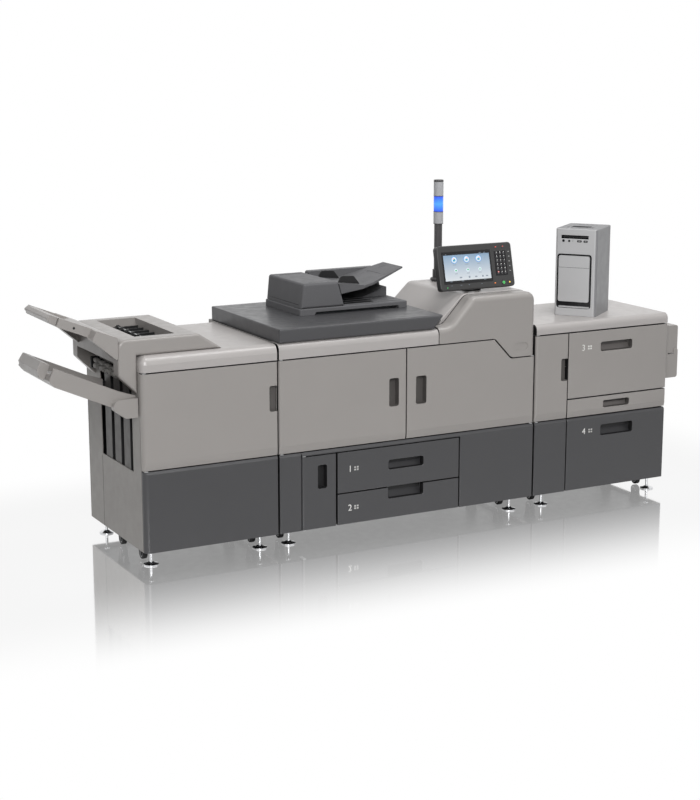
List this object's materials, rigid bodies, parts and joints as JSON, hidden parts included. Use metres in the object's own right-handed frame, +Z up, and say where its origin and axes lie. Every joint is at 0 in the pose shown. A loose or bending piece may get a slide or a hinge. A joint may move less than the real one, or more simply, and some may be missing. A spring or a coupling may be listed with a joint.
{
  "type": "digital production printer",
  "caption": "Digital production printing line: finisher with two output trays, main unit with document feeder and tilting panel, large paper feeder, small print server.",
  "frame": {"origin": "on the floor, under the middle of the whole line's length and of the main unit's depth", "axes": "+X to the right as an operator at the front sees it, +Y to the back, +Z up"},
  "size_m": [3.2242, 0.74, 1.52],
  "materials": {
    "light_cover": "fine textured",
    "pale_cover": "fine textured",
    "dark_cover": "fine textured",
    "slate_cover": "fine textured",
    "black_frame": "satin",
    "black_plastic": "satin",
    "panel_housing": "satin",
    "screen_glass": "gloss",
    "key_plastic": "satin",
    "green_key": "satin",
    "pink_key": "satin",
    "platen_glass": "clear",
    "clear_lens": "clear",
    "blue_lens": "clear",
    "silver_paint": "metallic",
    "zinc_plate": "satin",
    "chrome_feet": "polished",
    "caster_rubber": "matte",
    "white_roller": "satin"
  },
  "bodies": {
    "line": {"finisher_frame": "black_frame", "finisher_left_panel": "light_cover", "finisher_top_cover": "pale_cover", "exit_hood": "light_cover", "guide_slats": "light_cover", "proof_tray": "light_cover", "main_frame": "black_frame", "top_front_strip": "pale_cover", "console_cover": "light_cover", "console_hump": "light_cover", "scanner_table": "slate_cover", "exposure_glass": "platen_glass", "inner_panels": "black_plastic", "toner_and_waste_bottles": "black_plastic", "imaging_units": "black_plastic", "fuser_unit": "black_plastic", "panel_bracket": "black_plastic", "status_pole": "black_plastic", "status_lens": "clear_lens", "status_lamp": "blue_lens", "feeder_frame": "black_frame", "feeder_top_cover": "pale_cover", "side_feed_housing": "light_cover", "server_case": "silver_paint", "lower_front_panels": "dark_cover", "side_and_rear_covers": "light_cover", "door_hinges": "zinc_plate", "drawer_runners": "zinc_plate", "levelling_feet": "chrome_feet"},
    "finisher_door": {"finisher_door": "light_cover"},
    "shift_tray": {"shift_tray": "light_cover"},
    "shift_extension": {"shift_tray_extension": "light_cover"},
    "proof_extension": {"proof_tray_extension": "light_cover"},
    "exit_drive": {"exit_drive_roller": "white_roller"},
    "exit_idler": {"exit_idler_roller": "white_roller"},
    "left_door": {"main_left_door": "light_cover"},
    "right_door": {"main_right_door": "light_cover"},
    "waste_door": {"waste_door": "dark_cover"},
    "tray_1": {"paper_tray_1": "dark_cover"},
    "tray_2": {"paper_tray_2": "dark_cover"},
    "document_feeder": {"adf_base": "slate_cover"},
    "feed_cover": {"adf_feed_cover": "slate_cover"},
    "feed_roller": {"adf_feed_roller": "white_roller"},
    "original_tray": {"original_tray": "slate_cover"},
    "front_fence": {"front_fence": "black_plastic"},
    "rear_fence": {"rear_fence": "black_plastic"},
    "operation_panel": {"control_panel": "panel_housing", "touch_screen": "screen_glass"},
    "number_keys": {"number_keys": "key_plastic"},
    "start_key": {"start_key": "green_key"},
    "stop_key": {"stop_key": "pink_key"},
    "feeder_door": {"feeder_door": "light_cover"},
    "tray_3": {"paper_tray_3": "light_cover"},
    "transport_drawer": {"transport_drawer": "light_cover"},
    "tray_4": {"paper_tray_4": "dark_cover"},
    "side_feed_tray": {"side_feed_tray": "light_cover"},
    "server_door": {"server_door": "silver_paint"},
    "server_button": {"server_power_button": "black_plastic"},
    "front_casters": {"front_caster_wheels": "caster_rubber"},
    "rear_casters": {"rear_caster_wheels": "caster_rubber"}
  },
  "joints": [
    {"name": "finisher_door_hinge", "type": "hinge", "parent": "line", "child": "finisher_door", "pos_m": [-1.1949, -0.358, 0.6], "axis": [0, 0, -1], "range_deg": [0, 90]},
    {"name": "left_door_hinge", "type": "hinge", "parent": "line", "child": "left_door", "pos_m": [-0.5719, -0.358, 0.6], "axis": [0, 0, -1], "range_deg": [0, 90]},
    {"name": "right_door_hinge", "type": "hinge", "parent": "line", "child": "right_door", "pos_m": [0.7161, -0.358, 0.6], "axis": [0, 0, 1], "range_deg": [0, 90]},
    {"name": "waste_door_hinge", "type": "hinge", "parent": "line", "child": "waste_door", "pos_m": [-0.4649, -0.358, 0.23], "axis": [0, 0, -1], "range_deg": [0, 90]},
    {"name": "feeder_door_hinge", "type": "hinge", "parent": "line", "child": "feeder_door", "pos_m": [0.7481, -0.358, 0.6], "axis": [0, 0, -1], "range_deg": [0, 90]},
    {"name": "tray_1_slide", "type": "slide", "parent": "line", "child": "tray_1", "axis": [0, -1, 0], "range_m": [0, 0.4]},
    {"name": "tray_2_slide", "type": "slide", "parent": "line", "child": "tray_2", "axis": [0, -1, 0], "range_m": [0, 0.4]},
    {"name": "tray_3_slide", "type": "slide", "parent": "line", "child": "tray_3", "axis": [0, -1, 0], "range_m": [0, 0.4]},
    {"name": "transport_slide", "type": "slide", "parent": "line", "child": "transport_drawer", "axis": [0, -1, 0], "range_m": [0, 0.32]},
    {"name": "tray_4_slide", "type": "slide", "parent": "line", "child": "tray_4", "axis": [0, -1, 0], "range_m": [0, 0.4]},
    {"name": "shift_tray_lift", "type": "slide", "parent": "line", "child": "shift_tray", "axis": [0, 0, 1], "range_m": [-0.27, 0]},
    {"name": "shift_extension_slide", "type": "slide", "parent": "shift_tray", "child": "shift_extension", "axis": [-0.9135, 0, 0.4067], "range_m": [0, 0.09]},
    {"name": "proof_extension_slide", "type": "slide", "parent": "line", "child": "proof_extension", "axis": [-0.9272, 0, 0.3746], "range_m": [0, 0.09]},
    {"name": "exit_drive_spin", "type": "hinge", "parent": "line", "child": "exit_drive", "pos_m": [-1.2349, -0.07, 0.796], "axis": [0, 1, 0], "continuous": true},
    {"name": "exit_idler_spin", "type": "hinge", "parent": "line", "child": "exit_idler", "pos_m": [-1.2349, -0.07, 0.82], "axis": [0, 1, 0], "continuous": true},
    {"name": "document_feeder_lift", "type": "hinge", "parent": "line", "child": "document_feeder", "pos_m": [-0.0519, 0.278, 0.99], "axis": [-1, 0, 0], "range_deg": [0, 75]},
    {"name": "feed_cover_hinge", "type": "hinge", "parent": "document_feeder", "child": "feed_cover", "pos_m": [-0.3399, 0.08, 1.006], "axis": [0, -1, 0], "range_deg": [0, 70]},
    {"name": "feed_roller_spin", "type": "hinge", "parent": "document_feeder", "child": "feed_roller", "pos_m": [-0.1709, 0.08, 1.08], "axis": [0, 1, 0], "continuous": true},
    {"name": "original_tray_tilt", "type": "hinge", "parent": "document_feeder", "child": "original_tray", "pos_m": [-0.001, 0.08, 1.0726], "axis": [0, -1, 0], "range_deg": [0, 25]},
    {"name": "front_fence_slide", "type": "slide", "parent": "document_feeder", "child": "front_fence", "axis": [0, 1, 0], "range_m": [0, 0.08]},
    {"name": "rear_fence_slide", "type": "slide", "parent": "document_feeder", "child": "rear_fence", "axis": [0, 1, 0], "range_m": [-0.08, 0]},
    {"name": "panel_tilt", "type": "hinge", "parent": "line", "child": "operation_panel", "pos_m": [0.4801, -0.212, 1.083], "axis": [1, 0, 0], "range_deg": [-10, 15]},
    {"name": "number_keys_press", "type": "slide", "parent": "operation_panel", "child": "number_keys", "axis": [0, 0.9703, -0.2419], "range_m": [0, 0.001], "stiffness_N_per_m": 1000, "springref_m": -0.001},
    {"name": "start_key_press", "type": "slide", "parent": "operation_panel", "child": "start_key", "axis": [0, 0.9703, -0.2419], "range_m": [0, 0.001], "stiffness_N_per_m": 600, "springref_m": -0.001},
    {"name": "stop_key_press", "type": "slide", "parent": "operation_panel", "child": "stop_key", "axis": [0, 0.9703, -0.2419], "range_m": [0, 0.001], "stiffness_N_per_m": 600, "springref_m": -0.001},
    {"name": "side_feed_hinge", "type": "hinge", "parent": "line", "child": "side_feed_tray", "pos_m": [1.6001, -0.14, 0.6775], "axis": [0, 1, 0], "range_deg": [0, 80]},
    {"name": "server_door_hinge", "type": "hinge", "parent": "line", "child": "server_door", "pos_m": [0.99836, -0.165, 1.0403], "axis": [0, 0, -1], "range_deg": [0, 100]},
    {"name": "server_button_press", "type": "slide", "parent": "line", "child": "server_button", "axis": [0.788, 0.6157, 0], "range_m": [0, 0.0015], "stiffness_N_per_m": 600, "springref_m": -0.001},
    {"name": "front_caster_roll", "type": "hinge", "parent": "line", "child": "front_casters", "pos_m": [0.1121, -0.22, 0.027], "axis": [1, 0, 0], "continuous": true},
    {"name": "rear_caster_roll", "type": "hinge", "parent": "line", "child": "rear_casters", "pos_m": [0.1121, 0.02, 0.027], "axis": [1, 0, 0], "continuous": true}
  ],
  "couplings": [
    {"joint": "exit_idler_spin", "follows": "exit_drive_spin", "ratio": -1.2381},
    {"joint": "rear_fence_slide", "follows": "front_fence_slide", "ratio": -1}
  ]
}
